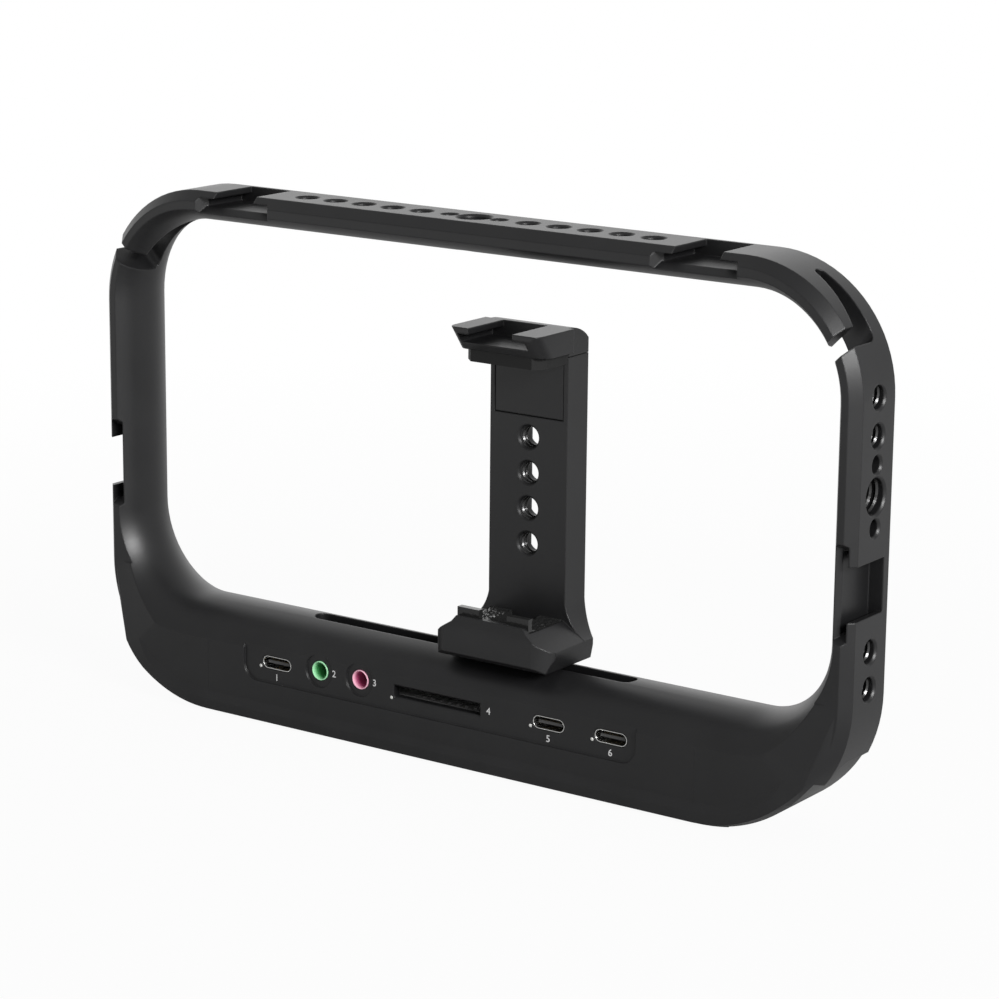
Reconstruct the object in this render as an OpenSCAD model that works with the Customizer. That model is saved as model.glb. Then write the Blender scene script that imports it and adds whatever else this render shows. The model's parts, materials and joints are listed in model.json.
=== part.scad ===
// Phone cage: an aluminium ring with a data hub in its lower bar and a sliding phone clamp.
// The origin is the centre of the tripod hole in the bottom face, with +Z up and the ports facing -Y.

/* [Ring] */
// Width of the ring over its sides
frame_w = 216; // [200:1:240]
// Height of the ring
frame_h = 130; // [126:1:150]
// Depth of the flat outer band, front to back
band_flat = 14; // [12:0.5:18]
// Leg of the chamfer at both edges of the band
edge_chamfer = 2.4; // [1.5:0.1:3]
// Outer radius of the upper corners
top_corner_r = 30; // [26:1:34]
// Outer radius of the lower corners
low_corner_r = 33; // [30:0.5:34]
// Thickness of the top rail at its middle
top_rail_t = 7.9; // [7.5:0.1:10]
// Thickness of the side rails at their middle
side_rail_t = 7.4; // [7.2:0.1:9]
// Radius of the rounded inner side
crown_r = 15; // [14.2:0.1:18]
// Inner radius of the window's upper corners
window_top_r = 22; // [18:1:26]
// Inner radius of the window's lower corners
window_low_r = 20; // [18:1:24]

/* [Lower bar] */
// Corner radius of the bar's rim and base
base_corner_r = 36.5; // [35:0.5:38]
// Angle below the horizontal at which the base steps back from the band
base_step_turn = 26; // [22:1:30]
// Height of the lower bar at its middle
bar_h = 26.4; // [26:0.1:32]
// Distance of the hub's front face from the ring's middle plane
face_y = 13.1; // [12.8:0.1:13.9]
// How far the rim under the face stands proud of it
rim_proud = 0.9; // [0.5:0.1:1.2]
// Height of the slope under the rim
under_rise = 0.9; // [0.6:0.1:1.2]
// Depth of the slope under the rim
under_run = 2.3; // [1.8:0.1:3]
// Height of the rim's front edge
rim_flat = 2.5; // [2:0.1:3]
// Height of the bevel from the rim to the face
rim_bevel = 1.8; // [1.4:0.1:2.4]
// Angle of the slope that the bar's front flares along
flare_turn = 48; // [40:1:55]
// Distance of the flare's start from the origin, along that slope
flare_start = 68; // [66:0.5:74]
// Length over which the front curves back at the flare
flare_run = 8.5; // [7:0.5:10]
// How far the front curves back over that length
flare_drop = 1.3; // [1:0.1:1.6]

/* [Threaded holes] */
// Tapped bore of the 1/4 inch holes
quarter_bore = 5.3; // [5:0.1:5.6]
// Tapped bore of the 3/8 inch holes
three_eighth_bore = 8.2; // [7.9:0.1:8.6]
// Bore of the locating holes beside a 3/8 inch hole
locating_bore = 3.8; // [3.2:0.1:4.2]
// Depth of the locating holes
locating_depth = 3; // [2:0.5:3.5]
// Leg of the countersink at every hole
countersink = 0.5; // [0.3:0.1:0.7]
// Pitch of the 1/4 inch rows
hole_pitch = 8.58; // [8.2:0.02:9]
// Distance of the locating holes from the 3/8 inch hole
locating_pitch = 7.1; // [6.8:0.1:7.5]
// Distance of the first 1/4 inch hole from the top's middle
row_start = 15.2; // [14.5:0.1:17]
// Number of 1/4 inch holes on each half of the top
row_count = 5; // [3:1:5]
// Distance of the sides' first hole below the top face
side_first = 28.9; // [28:0.1:32]
// Distance of the sides' 3/8 inch hole below the top face
side_middle = 50.9; // [50.5:0.1:53]
// Height of the sides' lowest hole
side_last = 35.4; // [34:0.1:37]
// Depth of the tapped holes in the sides
side_depth = 5.6; // [5:0.1:6]
// Depth of the tripod hole in the bottom face
tripod_depth = 6.5; // [5:0.5:7]

/* [Cold shoes] */
// Gap between the lips of a shoe
shoe_gap = 12.5; // [12.3:0.1:13]
// Width of the undercut below the lips
shoe_wide = 18.8; // [18.6:0.1:19.4]
// Thickness of the lips
shoe_lip = 1.5; // [1.3:0.1:1.6]
// Height of the undercut
shoe_deep = 2.2; // [2.1:0.1:2.3]
// How much wider the undercut is at its mouth, on each side
shoe_flare = 2.6; // [1:0.1:3]
// Distance of the top shoes from the middle
shoe_x = 65.8; // [64:0.1:72]
// Height of the side shoes
shoe_z = 58.4; // [57.5:0.1:59]
// Distance of the top shoes' rear stop from the middle plane
top_shoe_stop = 6; // [4.5:0.1:6.4]
// Distance of the side shoes' rear stop from the middle plane
side_shoe_stop = 4.8; // [4.5:0.1:6.4]

/* [Strap slots] */
// Direction that a strap slot is cut from, above the horizontal
strap_turn = 45; // [43:1:47]
// Length of a strap slot
strap_l = 20.2; // [18:0.1:21]
// Distance of the slot's rear edge from the middle plane
strap_rear = 2.4; // [2:0.1:2.6]
// Width of the slot at its upper end
strap_narrow = 3.2; // [2.8:0.1:3.6]
// Width of the slot at its lower end
strap_wide = 6.2; // [5:0.1:6.6]
// Radius of the slot's lower rear corner
strap_r = 2.2; // [1.6:0.1:2.4]
// Width of the channel from the slot to the front edge
strap_mouth = 4.2; // [4:0.1:5]

/* [Clamp slot] */
// Length of the clamp's slot
slot_l = 94.2; // [80:0.1:100]
// Width of the clamp's slot
slot_w = 5; // [4.8:0.1:5.4]
// Thickness of the wall over the nut
slot_lip = 2.5; // [2.2:0.1:2.7]
// Height of the channel that the nut slides in
channel_h = 3; // [2.8:0.1:3.1]
// Width of the channel that the nut slides in
channel_w = 9.2; // [8.8:0.1:9.8]

/* [Hub] */
// Space between the outer ports and the ends of the hub's cavity
port_margin = 4.13; // [4:0.01:6]
// Height of the cavity's floor
cavity_floor = 8.5; // [8:0.1:9]
// Height of the cavity's roof
cavity_roof = 19.9; // [19.8:0.1:20]
// Thickness of the wall behind the port panel
panel_wall = 2.2; // [1.8:0.1:2.4]
// Depth of the port panel's recess
panel_recess = 0.6; // [0.4:0.1:0.8]
// How far the port panel stops short of the cavity's ends
panel_inset = 0.7; // [0.4:0.1:1.5]
// Place of the port panel's middle
panel_x = -2.1; // [-3:0.1:0]
// Height of the port panel's lower edge
panel_low = 10.7; // [10.5:0.1:11.2]
// Corner radius of the port panel
panel_r = 4; // [2:0.5:4.5]
// Width of the land that each end of the rear cover rests on
cover_land = 5.5; // [5.2:0.1:7]
// Thickness of the rear cover
cover_t = 2.2; // [1.8:0.1:2.4]
// Height of the cover's lower edge
cover_low = 6.6; // [6.2:0.1:7]
// Height of the cover's upper edge
cover_high = 21.3; // [21:0.1:21.5]
// Thickness of the circuit board
board_t = 1.2; // [1:0.1:1.4]
// Height of the circuit board's upper face
board_top = 14.2; // [14:0.1:14.3]
// Width of the ledges that carry the board's ends
ledge_w = 3; // [2:0.5:4]

/* [Ports] */
// Place of the left USB port
usb_left_x = -49.9; // [-51:0.1:-48]
// Place of the middle USB port
usb_middle_x = 31.2; // [30:0.1:33]
// Place of the right USB port
usb_right_x = 48.5; // [48:0.1:51]
// Width of a USB shell
usb_w = 8.94; // [8.8:0.02:9]
// Height of a USB shell
usb_h = 3.26; // [3.2:0.02:3.3]
// Wall of a USB shell
usb_wall = 0.26; // [0.22:0.01:0.4]
// Length of a USB shell
usb_l = 7.6; // [6.5:0.1:9]
// Place of the headphone jack
headphone_x = -36.6; // [-37:0.1:-35]
// Place of the microphone jack
microphone_x = -24.2; // [-25:0.1:-22.5]
// Height of the jacks' axis above the board
jack_rise = 2.3; // [2.2:0.1:2.7]
// Outer diameter of a jack's collar
collar_d = 4.8; // [4.7:0.1:5.4]
// Bore of a jack
jack_bore = 3.6; // [3.5:0.1:3.8]
// Radius of the well round a jack
well_r = 4.2; // [4:0.1:4.6]
// Depth of the well round a jack
well_depth = 0.5; // [0.3:0.1:0.7]
// Middle of the card slot
card_x = -1; // [-1.5:0.1:0.5]
// Width of the card slot
card_w = 25.6; // [25:0.1:26.2]
// Height of the card slot
card_h = 2.7; // [2.6:0.1:2.8]
// Leg of the bevel on the card slot's long edges
card_bevel = 0.5; // [0.3:0.1:0.7]
// Depth of the card socket
card_l = 17; // [14:0.5:17.2]
// Depth of the block that carries the card's contacts
contact_block = 2.4; // [2:0.1:3]
// Length of a card contact
contact_l = 6; // [4:0.5:8]

/* [Clamp] */
// Place of the clamp along the slot
clamp_x = 13.2; // [-20:0.1:20]
// Width of the column
column_w = 22; // [21.5:0.1:26]
// Distance of the column's front from the middle plane
column_y = 4; // [3.8:0.1:5]
// Depth of the column
column_d = 9.7; // [9.6:0.1:11]
// Leg of the chamfer on the column's rear edges
edge_cut = 1.4; // [1:0.1:2]
// Height of the column's top
column_top = 99; // [97:0.5:101]
// Thickness of the column's web
web_t = 5; // [4.6:0.1:5.5]
// Gap between the column's rails
rail_gap = 11; // [10:0.1:11.4]
// Height of the lowest hole in the web
web_hole_z = 53; // [52:0.1:54]
// Number of holes in the web
web_hole_count = 4; // [2:1:4]
// Width of the lower jaw at its widest
jaw_base_w = 33.6; // [30:0.1:34]
// Distance of the lower jaw's lip from the middle plane
lip_y = 12.3; // [12:0.1:14]
// Height of the lower jaw's lip
lip_top = 37.2; // [36.8:0.1:38]
// Width of the lip at its top
lip_top_w = 19; // [16:0.1:19]
// Width of the lower pad
low_pad_w = 20.4; // [19:0.1:21]
// Height of the walls beside the lower pad
flank_top = 35.8; // [35:0.1:36]
// Radius of the lower jaw's front corners
base_round = 4; // [2:0.1:4]
// Thickness of the lip
lip_t = 2.4; // [2:0.1:3]
// Height of the lower jaw's floor
jaw_floor = 31.4; // [31:0.1:32]
// Thickness of the lower pad
low_pad_t = 4.7; // [4.5:0.1:5]
// Height of the lower pad's front wall above the jaw's floor
low_pad_rise = 7.6; // [7:0.1:8]

/* [Upper jaw] */
// Width of the upper jaw
jaw_w = 25.2; // [23:0.1:26]
// Height of the upper jaw's top
jaw_top = 106; // [105.5:0.1:107]
// Thickness of the upper jaw's plate
jaw_plate_t = 5.6; // [5:0.1:5.6]
// Distance of the upper jaw's tip from the middle plane
jaw_tip_y = 10.8; // [9:0.1:11]
// How far the tip leans out over its foot
jaw_lean = 3.3; // [2:0.1:4]
// Depth of the rounding of the upper jaw's rear edge
jaw_round = 9.8; // [8:0.1:10]
// Radius of the upper jaw's front corners
jaw_corner_r = 3; // [2:0.1:4]
// Distance of the jaw's shoe from the clamp's middle
jaw_shoe_x = -0.8; // [-1:0.1:0]
// Distance of the jaw's shoe stop from the middle plane
jaw_shoe_stop = 3.4; // [3:0.1:3.6]
// Width of the tongue
tongue_w = 19.3; // [18:0.1:20]
// Thickness of the tongue
tongue_t = 2.4; // [2:0.1:2.6]
// Height of the tongue's lower end
tongue_low = 84; // [83:0.1:86]
// Diameter of the hole in the tongue
tongue_hole = 2.6; // [2:0.1:3]
// Distance of the tongue's hole below the column's top
tongue_hole_drop = 2.6; // [2:0.1:4]
// Thickness of the upper pad
up_pad_t = 2.8; // [2.5:0.1:3.5]
// Diameter of the guide rods
rod_d = 3; // [2.6:0.1:3.2]
// Distance between the guide rods
rod_pitch = 16.4; // [16:0.1:16.8]
// Height of the guide rods' lower ends
rod_low = 60; // [58:0.5:70]

/* [Screws and knob] */
// Diameter of the slide screw
slide_screw_d = 4; // [3:0.5:4]
// Head diameter of the slide screw
slide_head_d = 7; // [6:0.1:7.2]
// Head height of the slide screw
slide_head_h = 2.8; // [2:0.1:3]
// Length of the slide nut
nut_l = 10; // [8:0.5:14]
// Diameter of the lock screw
lock_screw_d = 3.8; // [3:0.1:4]
// Height of the lock knob's axis
lock_z = 90; // [88:0.5:92]
// Diameter of the lock knob
knob_d = 12; // [10:0.5:13]
// Length of the lock knob
knob_l = 6.4; // [5:0.2:8]
// Number of grooves round the lock knob
knob_grooves = 20; // [12:1:28]
// Diameter of the cover screws' shanks
cover_screw_d = 2.2; // [1.8:0.1:2.4]
// Diameter of the cover screws' heads
cover_head_d = 4.2; // [3.8:0.1:4.4]
// How far the cover screws reach into the frame
cover_screw_reach = 5; // [4:0.1:5.2]

/* [Clearances] */
// Gap between faces that slide on each other
slide_gap = 0.2; // [0.15:0.05:0.3]
// Radial gap of a round part that turns or slides in its bore
round_gap = 0.1; // [0.05:0.01:0.15]
// Gap between a fixed piece and its opening
seat_gap = 0.1; // [0.05:0.01:0.15]
// Gap under the clamp, over the crown of the bar
clamp_gap = 0.3; // [0.2:0.05:0.5]

/* [Hidden] */
$fn = 64;

// Ring
half_w = frame_w / 2;
band_half = band_flat / 2;
rear_y = band_half + edge_chamfer;
core_t = max(top_rail_t, side_rail_t) + 1.5;
window_half = half_w - side_rail_t;
window_top = frame_h - top_rail_t;
window_low = bar_h;
past = 30;
// Drop of the rounded inner side at a distance from the middle plane
function crown_drop(y) = crown_r - sqrt(crown_r * crown_r - y * y);

// Lower bar
rim_y = face_y + rim_proud;
rim_edge_y = rim_y - under_run;
rim_h = under_rise + rim_flat;
flare_top = bar_h - 1;
flare_steps = [for (i = [0 : 4]) [flare_drop * (0.45 * i / 4 + 0.55 * pow(i / 4, 2)), flare_run * i / 4]];
fill_top = window_low + window_low_r + 4;

// Clamp slot and hub
channel_top = bar_h - slot_lip;
channel_low = channel_top - channel_h;
cavity_l = 2 * max(-usb_left_x, usb_right_x) + usb_w + 2 * port_margin;
panel_l = cavity_l - 2 * panel_inset;
cover_l = cavity_l + 2 * cover_land;
cover_y = rear_y - cover_t;
cavity_front = -face_y + panel_recess + panel_wall;
panel_y = -face_y + panel_recess;
port_nose = panel_y + seat_gap;
usb_z = board_top + usb_h / 2 + 0.1;
jack_z = board_top + jack_rise;
card_z = board_top + card_h / 2 + 0.05;
cover_screw_x = (cavity_l + cover_land) / 2;
cover_screw_z = [cover_low + 3, cover_high - 3];

// Clamp
column_back = column_y + column_d;
clamp_low = bar_h + clamp_gap;
rod_y = column_back - 3.5;
rods = [clamp_x - rod_pitch / 2, clamp_x + rod_pitch / 2];
lock_x = rods[0];
jaw_plate_low = jaw_top - jaw_plate_t;
jaw_foot_y = -jaw_tip_y + jaw_lean;
jaw_edge = 1.2;
round_y = column_back - jaw_round;
neck_low = column_top + slide_gap;
pad_front = -lip_y + lip_t + 1.8;

// Extrudes a (y, z) profile along X, with its middle at x = 0
module along_x(length) {
    rotate([90, 0, 90])
        translate([0, 0, -length / 2])
            linear_extrude(length) children();
}

// Extrudes an (x, z) profile along Y between two planes
module along_y(from, to) {
    translate([0, to, 0])
        rotate([90, 0, 0])
            linear_extrude(to - from) children();
}

// Turns an (r, -y) profile round an axis along Y, from a start angle
module turn_y(x, z, start, angle) {
    translate([x, 0, z])
        rotate([90, 0, 0])
            rotate([0, 0, start])
                rotate_extrude(angle = angle) children();
}

// Rounded rectangle, centred
module rounded(w, h, r) {
    square([w - 2 * r, h], center = true);
    square([w, h - 2 * r], center = true);
    for (x = [-1, 1], y = [-1, 1])
        translate([x * (w / 2 - r), y * (h / 2 - r)]) circle(r);
}

// Long hole, centred
module stadium(w, h) {
    square([w - h, h], center = true);
    for (x = [-1, 1]) translate([x * (w - h) / 2, 0]) circle(h / 2);
}

// Tapped hole from a face at z = 0 downwards, with its countersink
module tapped(d, depth) {
    translate([0, 0, -depth]) cylinder(d = d, h = depth + 1);
    translate([0, 0, -countersink]) cylinder(d1 = d, d2 = d + 4 * countersink, h = 2 * countersink);
}

// Section of the rails: distance in from the outer band, and y
function section() = [[0, -band_half], [edge_chamfer, -rear_y], [core_t, -rear_y],
    [core_t, rear_y], [edge_chamfer, rear_y], [0, band_half]];

// The closed ring before its inner side is rounded
module ring_blank() {
    along_x(frame_w - 2 * top_corner_r)
        polygon([for (p = section()) [p[1], frame_h - p[0]]]);
    along_x(frame_w - 2 * low_corner_r)
        polygon([for (p = section()) [p[1], p[0]]]);
    for (side = [0, 1]) mirror([side, 0, 0]) {
        translate([0, 0, low_corner_r])
            linear_extrude(frame_h - low_corner_r - top_corner_r)
                polygon([for (p = section()) [half_w - p[0], p[1]]]);
        turn_y(half_w - top_corner_r, frame_h - top_corner_r, 0, 90)
            polygon([for (p = section()) [top_corner_r - p[0], p[1]]]);
        turn_y(half_w - low_corner_r, low_corner_r, -90, 90)
            polygon([for (p = section()) [low_corner_r - p[0], p[1]]]);
    }
}

// Points of a quarter arc
function arc(x, z, r, from, step, count) =
    [for (i = [0 : count]) [x + r * cos(from + i * step), z + r * sin(from + i * step)]];

// Block between the rails that the lower bar is cut from
module bar_fill() {
    inset = core_t / 2;
    along_y(-rear_y, rear_y)
        polygon(concat(
            arc(half_w - low_corner_r, low_corner_r, low_corner_r - inset, -90, 15, 6),
            [[half_w - inset, fill_top], [inset - half_w, fill_top]],
            arc(low_corner_r - half_w, low_corner_r, low_corner_r - inset, 180, 15, 6)));
}

// Right part of a lower outline of given corner radius, grown outwards, inside a slanted limit
module flare_outline(r, grow, limit) {
    start = half_w - r - 10;
    intersection() {
        union() {
            translate([start, -grow]) square([10, r + grow]);
            translate([half_w - r, r]) circle(r + grow, $fn = 120);
        }
        translate([start, -grow - 1]) square([half_w, r + grow + 1]);
        rotate(flare_turn) translate([limit - 2 * half_w, -half_w]) square([2 * half_w, frame_w]);
    }
}

// Section of the lower bar's front, from the band to above the crown
function front_section() = [[-band_half, 0], [-rim_edge_y, 0], [-rim_y, under_rise],
    [-rim_y, rim_h], [-face_y, rim_h + rim_bevel], [-face_y, flare_top], [-band_half, flare_top + 4]];

// Front of the lower bar, flaring out of the lower corners
module bar_front() {
    over = 0.6;
    sunk = 0.4;
    step = 0.03;
    slope_y = over * under_run / under_rise - rim_edge_y + step;
    flare_end = flare_start + flare_steps[len(flare_steps) - 1][1];
    corner_x = half_w - low_corner_r;
    base_x = half_w - base_corner_r;
    corner_rim = base_corner_r - rim_h - step;
    along_x(2 * base_x) polygon(front_section());
    for (side = [0, 1]) mirror([side, 0, 0]) difference() {
        intersection() {
            union() {
                turn_y(corner_x, low_corner_r, -90, 90)
                    translate([0, band_half]) square([low_corner_r, rim_y + 1 - band_half]);
                translate([base_x, -rim_y - 1, 0])
                    cube([corner_x - base_x + 1, rim_y + 1 - band_half, low_corner_r]);
            }
            hull() {
                along_y(over - band_half + sunk, over - band_half + sunk + 0.1)
                    flare_outline(low_corner_r, over, frame_w);
                along_y(sunk - rear_y, sunk - rear_y + 0.1)
                    flare_outline(low_corner_r, -edge_chamfer, frame_w);
                along_y(slope_y, slope_y + 0.1) flare_outline(base_corner_r, over, flare_end);
                for (k = flare_steps)
                    along_y(k[0] + step - rim_y, k[0] + step - rim_y + 0.1)
                        flare_outline(base_corner_r, -under_rise + k[0] / 5, flare_start + k[1]);
            }
        }
        turn_y(base_x, base_corner_r, -90, 90)
            polygon([[corner_rim + rim_bevel / rim_proud, rim_y + 1], [corner_rim - rim_bevel, face_y + step],
                [0, face_y + step], [0, rim_y + 1]]);
    }
}

// Recess that sets the base back from the band at the lower corners
module base_recess() {
    sunk = 0.1;
    top = low_corner_r * tan(30 - base_step_turn);
    tip = -low_corner_r * tan(5);
    front = -band_half;
    for (side = [0, 1]) mirror([side, 0, 0]) intersection() {
        turn_y(half_w - base_corner_r, base_corner_r - sunk, -90, 80)
            translate([base_corner_r, -past]) square([12, 2 * past]);
        translate([half_w - low_corner_r, 0, low_corner_r]) rotate([0, 30, 0])
            translate([low_corner_r, 0, 0]) along_x(26)
                polygon([[past, top], [front + 4, top], [front + 1.6, top - 1.2], [front + 0.6, top - 3],
                    [front, tip], [-past, tip], [-past, -past], [past, -past]]);
    }
}

// Opening of the ring, with the rounded inner sides of the rails
module window() {
    wide = 2 * crown_r - 0.4;
    out = 12;
    edge = 0.5;
    along_y(-wide / 2, wide / 2)
        polygon(concat(
            arc(window_half - window_top_r, window_top - window_top_r, window_top_r - edge, 0, 15, 6),
            arc(window_top_r - window_half, window_top - window_top_r, window_top_r - edge, 90, 15, 6),
            arc(window_low_r - window_half, window_low + window_low_r, window_low_r - edge, 180, 15, 6),
            arc(window_half - window_low_r, window_low + window_low_r, window_low_r - edge, 270, 15, 6)));
    along_x(2 * (window_half - window_top_r)) difference() {
        translate([-wide / 2, window_top - 1]) square([wide, out]);
        translate([0, window_top + crown_r]) circle(crown_r);
    }
    along_x(2 * (window_half - window_low_r)) difference() {
        translate([-wide / 2, window_low + 1 - out]) square([wide, out]);
        translate([0, window_low - crown_r]) circle(crown_r);
    }
    for (side = [0, 1]) mirror([side, 0, 0]) {
        translate([0, 0, window_low + window_low_r])
            linear_extrude(window_top - window_top_r - window_low - window_low_r) difference() {
                translate([window_half - 1, -wide / 2]) square([out, wide]);
                translate([window_half + crown_r, 0]) circle(crown_r);
            }
        turn_y(window_half - window_top_r, window_top - window_top_r, 0, 90) difference() {
            translate([window_top_r - 1, -wide / 2]) square([out, wide]);
            translate([window_top_r + crown_r, 0]) circle(crown_r);
        }
        turn_y(window_half - window_low_r, window_low + window_low_r, -90, 90) difference() {
            translate([window_low_r - 1, -wide / 2]) square([out, wide]);
            translate([window_low_r + crown_r, 0]) circle(crown_r);
        }
    }
}

// Cold shoe cut into a face at z = 0, open at the front, with a lead-in, and stopped at the rear
module shoe_cut(stop) {
    wide = shoe_wide / 2;
    mouth = wide + shoe_flare;
    end = rear_y + 1;
    start = rear_y - 3;
    bed = -shoe_lip - shoe_deep;
    lead = end - band_half;
    plan = [[-mouth, -end], [mouth, -end], [wide, -start], [wide, stop], [-wide, stop], [-wide, -start]];
    translate([0, 0, bed]) linear_extrude(shoe_deep) polygon(plan);
    translate([-shoe_gap / 2, -end, -shoe_lip - 0.5]) cube([shoe_gap, end + stop, shoe_lip + 1.5]);
    intersection() {
        translate([0, 0, bed - lead]) linear_extrude(lead + 0.5) polygon(plan);
        along_x(2 * mouth + 1)
            polygon([[-band_half + 0.5, bed + 0.5], [-end - 1, bed + 0.5], [-end - 1, bed - lead - 1]]);
    }
}

// Outline of a strap slot, with its channel to the front edge: y, and height along the corner
module strap_plan() {
    edge = 0.03;
    high = strap_l / 2;
    upper_r = strap_narrow / 2;
    polygon([[strap_rear - edge, high - upper_r], [strap_rear - edge, strap_r - high],
        [strap_rear - strap_r, edge - high], [-past, edge - high], [-past, strap_mouth - high],
        [strap_rear - strap_wide, strap_mouth - high], [strap_rear - strap_narrow + edge, high - upper_r]]);
    translate([strap_rear - upper_r, high - upper_r]) circle(upper_r);
    translate([strap_rear - strap_r, strap_r - high]) circle(strap_r);
}

// Strap slot of an upper corner
module strap_cut() {
    deep = 24;
    translate([half_w - top_corner_r, 0, frame_h - top_corner_r]) rotate([0, -strap_turn, 0])
        translate([deep, 0, 0]) along_x(deep) strap_plan();
}

// Tapped and locating holes of the ring
module ring_holes() {
    through = core_t + 4;
    translate([0, 0, frame_h]) {
        tapped(three_eighth_bore, through);
        for (side = [-1, 1]) {
            translate([side * locating_pitch, 0, 0]) tapped(locating_bore, locating_depth);
            for (i = [0 : row_count - 1])
                translate([side * (row_start + i * hole_pitch), 0, 0]) tapped(quarter_bore, through);
        }
    }
    for (side = [-1, 1]) {
        for (z = [frame_h - side_first, frame_h - side_first - hole_pitch, side_last + hole_pitch, side_last])
            translate([side * half_w, 0, z]) rotate([0, side * 90, 0]) tapped(quarter_bore, side_depth);
        for (z = [-1, 1])
            translate([side * half_w, 0, frame_h - side_middle + z * locating_pitch])
                rotate([0, side * 90, 0]) tapped(locating_bore, locating_depth);
        translate([side * half_w, 0, frame_h - side_middle])
            rotate([0, side * 90, 0]) tapped(three_eighth_bore, side_depth);
    }
    translate([0, 0, -1]) cylinder(d = quarter_bore, h = tripod_depth + 1);
}

// Slot of the clamp and the channel of its nut
module clamp_slot() {
    translate([0, 0, channel_top - 0.5]) linear_extrude(slot_lip + 2) stadium(slot_l, slot_w);
    translate([-slot_l / 2, -channel_w / 2, channel_low]) cube([slot_l, channel_w, channel_h]);
}

// Space for the electronics, open to the rear, with the cover's seat
module hub_space() {
    board_low = board_top - board_t;
    inner = cavity_l - 2 * ledge_w;
    translate([-inner / 2, cavity_front, cavity_floor])
        cube([inner, rear_y + 1 - cavity_front, cavity_roof - cavity_floor]);
    translate([-cavity_l / 2, cavity_front, board_low])
        cube([cavity_l, rear_y + 1 - cavity_front, cavity_roof - board_low]);
    along_y(cover_y, rear_y + 1)
        translate([0, (cover_low + cover_high) / 2]) rounded(cover_l, cover_high - cover_low, 2.5);
    for (x = [-1, 1], z = cover_screw_z)
        translate([x * cover_screw_x, cover_y + 1, z]) rotate([90, 0, 0])
            cylinder(d = cover_screw_d + 2 * seat_gap, h = cover_screw_reach + 2.4);
}

// Port panel with the openings for the ports
module port_openings() {
    high = 30;
    front = -rim_y - 1;
    along_y(front, panel_y)
        translate([panel_x, panel_low + high / 2]) rounded(panel_l, high, panel_r);
    for (x = [usb_left_x, usb_middle_x, usb_right_x])
        along_y(front, cavity_front + 1)
            translate([x, usb_z]) stadium(usb_w + 2 * seat_gap, usb_h + 2 * seat_gap);
    for (x = [headphone_x, microphone_x]) translate([x, 0, jack_z]) rotate([90, 0, 0]) {
        translate([0, 0, -panel_y - well_depth]) cylinder(r = well_r, h = 4);
        translate([0, 0, -cavity_front - 1]) cylinder(d = collar_d + 2 * seat_gap, h = 6);
    }
    translate([card_x - card_w / 2, front, card_z - card_h / 2])
        cube([card_w, cavity_front + 1 - front, card_h]);
    for (side = [0, 1])
        translate([card_x, panel_y, card_z]) mirror([0, 0, side]) along_x(card_w)
            polygon([[-1, -card_h / 2 - card_bevel - 1], [card_bevel, -card_h / 2], [card_bevel, 0], [-1, 0]]);
}

module cage_frame() {
    color([0.12, 0.12, 0.13]) difference() {
        union() {
            ring_blank();
            bar_fill();
            bar_front();
        }
        window();
        ring_holes();
        for (side = [-1, 1]) {
            translate([side * shoe_x, 0, frame_h]) shoe_cut(top_shoe_stop);
            translate([side * half_w, 0, shoe_z]) rotate([0, side * 90, 0]) shoe_cut(side_shoe_stop);
        }
        for (side = [0, 1]) mirror([side, 0, 0]) strap_cut();
        clamp_slot();
        hub_space();
        port_openings();
        base_recess();
    }
}

module rear_cover() {
    color([0.14, 0.14, 0.15]) difference() {
        along_y(cover_y, rear_y)
            translate([0, (cover_low + cover_high) / 2])
                rounded(cover_l - 2 * seat_gap, cover_high - cover_low - 2 * seat_gap, 2.4);
        for (x = [-1, 1], z = cover_screw_z)
            translate([x * cover_screw_x, rear_y, z]) rotate([-90, 0, 0]) {
                translate([0, 0, -cover_t - 1]) cylinder(d = cover_screw_d + 2 * seat_gap, h = cover_t + 2);
                translate([0, 0, -1]) cylinder(d1 = cover_screw_d + 2 * seat_gap,
                    d2 = 2 * cover_head_d - cover_screw_d + 2 * seat_gap, h = 2);
            }
    }
}

module rear_cover_screws() {
    color([0.3, 0.3, 0.32])
        for (x = [-1, 1], z = cover_screw_z)
            translate([x * cover_screw_x, rear_y, z]) rotate([-90, 0, 0]) difference() {
                union() {
                    translate([0, 0, -1]) cylinder(d1 = cover_screw_d, d2 = cover_head_d, h = 1);
                    translate([0, 0, -cover_t - cover_screw_reach])
                        cylinder(d = cover_screw_d, h = cover_t + cover_screw_reach - 1);
                }
                translate([0, 0, -0.8]) cylinder(d = 1.5, h = 2, $fn = 6);
            }
}

module hub_board() {
    color([0.05, 0.25, 0.12])
        translate([-cavity_l / 2 + seat_gap, cavity_front + 0.3, board_top - board_t])
            cube([cavity_l - 2 * seat_gap, cover_y - cavity_front - 0.6, board_t]);
}

module hub_chip() {
    color([0.1, 0.1, 0.1])
        translate([(usb_middle_x + card_x + card_w / 2) / 2 - 4.5, -4, board_top])
            cube([7, 7, 0.9]);
}

module usb_shell(x) {
    color([0.8, 0.8, 0.82]) translate([x, 0, usb_z]) difference() {
        along_y(port_nose, port_nose + usb_l) stadium(usb_w, usb_h);
        along_y(port_nose - 1, port_nose + usb_l - 0.4)
            stadium(usb_w - 2 * usb_wall, usb_h - 2 * usb_wall);
    }
}

module usb_tongue(x) {
    gap = 0.05;
    color([0.08, 0.08, 0.08]) translate([x, 0, usb_z]) {
        along_y(port_nose + usb_l - 2, port_nose + usb_l - 0.4)
            stadium(usb_w - 2 * usb_wall - 2 * gap, usb_h - 2 * usb_wall - 2 * gap);
        along_y(port_nose + 0.9, port_nose + usb_l - 1.5) square([6.7, 0.7], center = true);
    }
}

module usb_shell_left() usb_shell(usb_left_x);

module usb_shell_middle() usb_shell(usb_middle_x);

module usb_shell_right() usb_shell(usb_right_x);

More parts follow.
